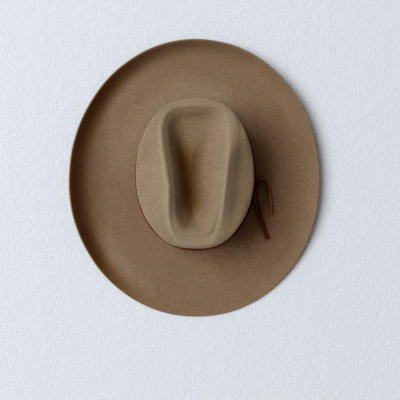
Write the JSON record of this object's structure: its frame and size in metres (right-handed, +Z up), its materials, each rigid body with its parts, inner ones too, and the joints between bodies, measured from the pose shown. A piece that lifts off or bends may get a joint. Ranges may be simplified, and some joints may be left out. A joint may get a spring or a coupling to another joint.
{
  "type": "wide-brimmed felt hat",
  "caption": "Soft felt hat with a teardrop crease in the crown, a wide brim curled up at the sides and back, and a thin leather band knotted at one side with two loose ends.",
  "frame": {"origin": "middle of the hat's footprint, on the flat surface that the brim rests on", "axes": "+Z up through the crown, +Y towards the back of the head, +X towards the wearer's left, where the knot is"},
  "size_m": [0.3532, 0.3958, 0.108],
  "materials": {
    "felt": "brushed wool felt, matt",
    "leather": "oiled leather, low sheen, paler cut edges"
  },
  "bodies": {
    "root": {"felt_body": "felt", "hat_band": "leather", "band_knot": "leather", "tie_end_upper": "leather", "tie_end_lower": "leather"}
  },
  "joints": []
}
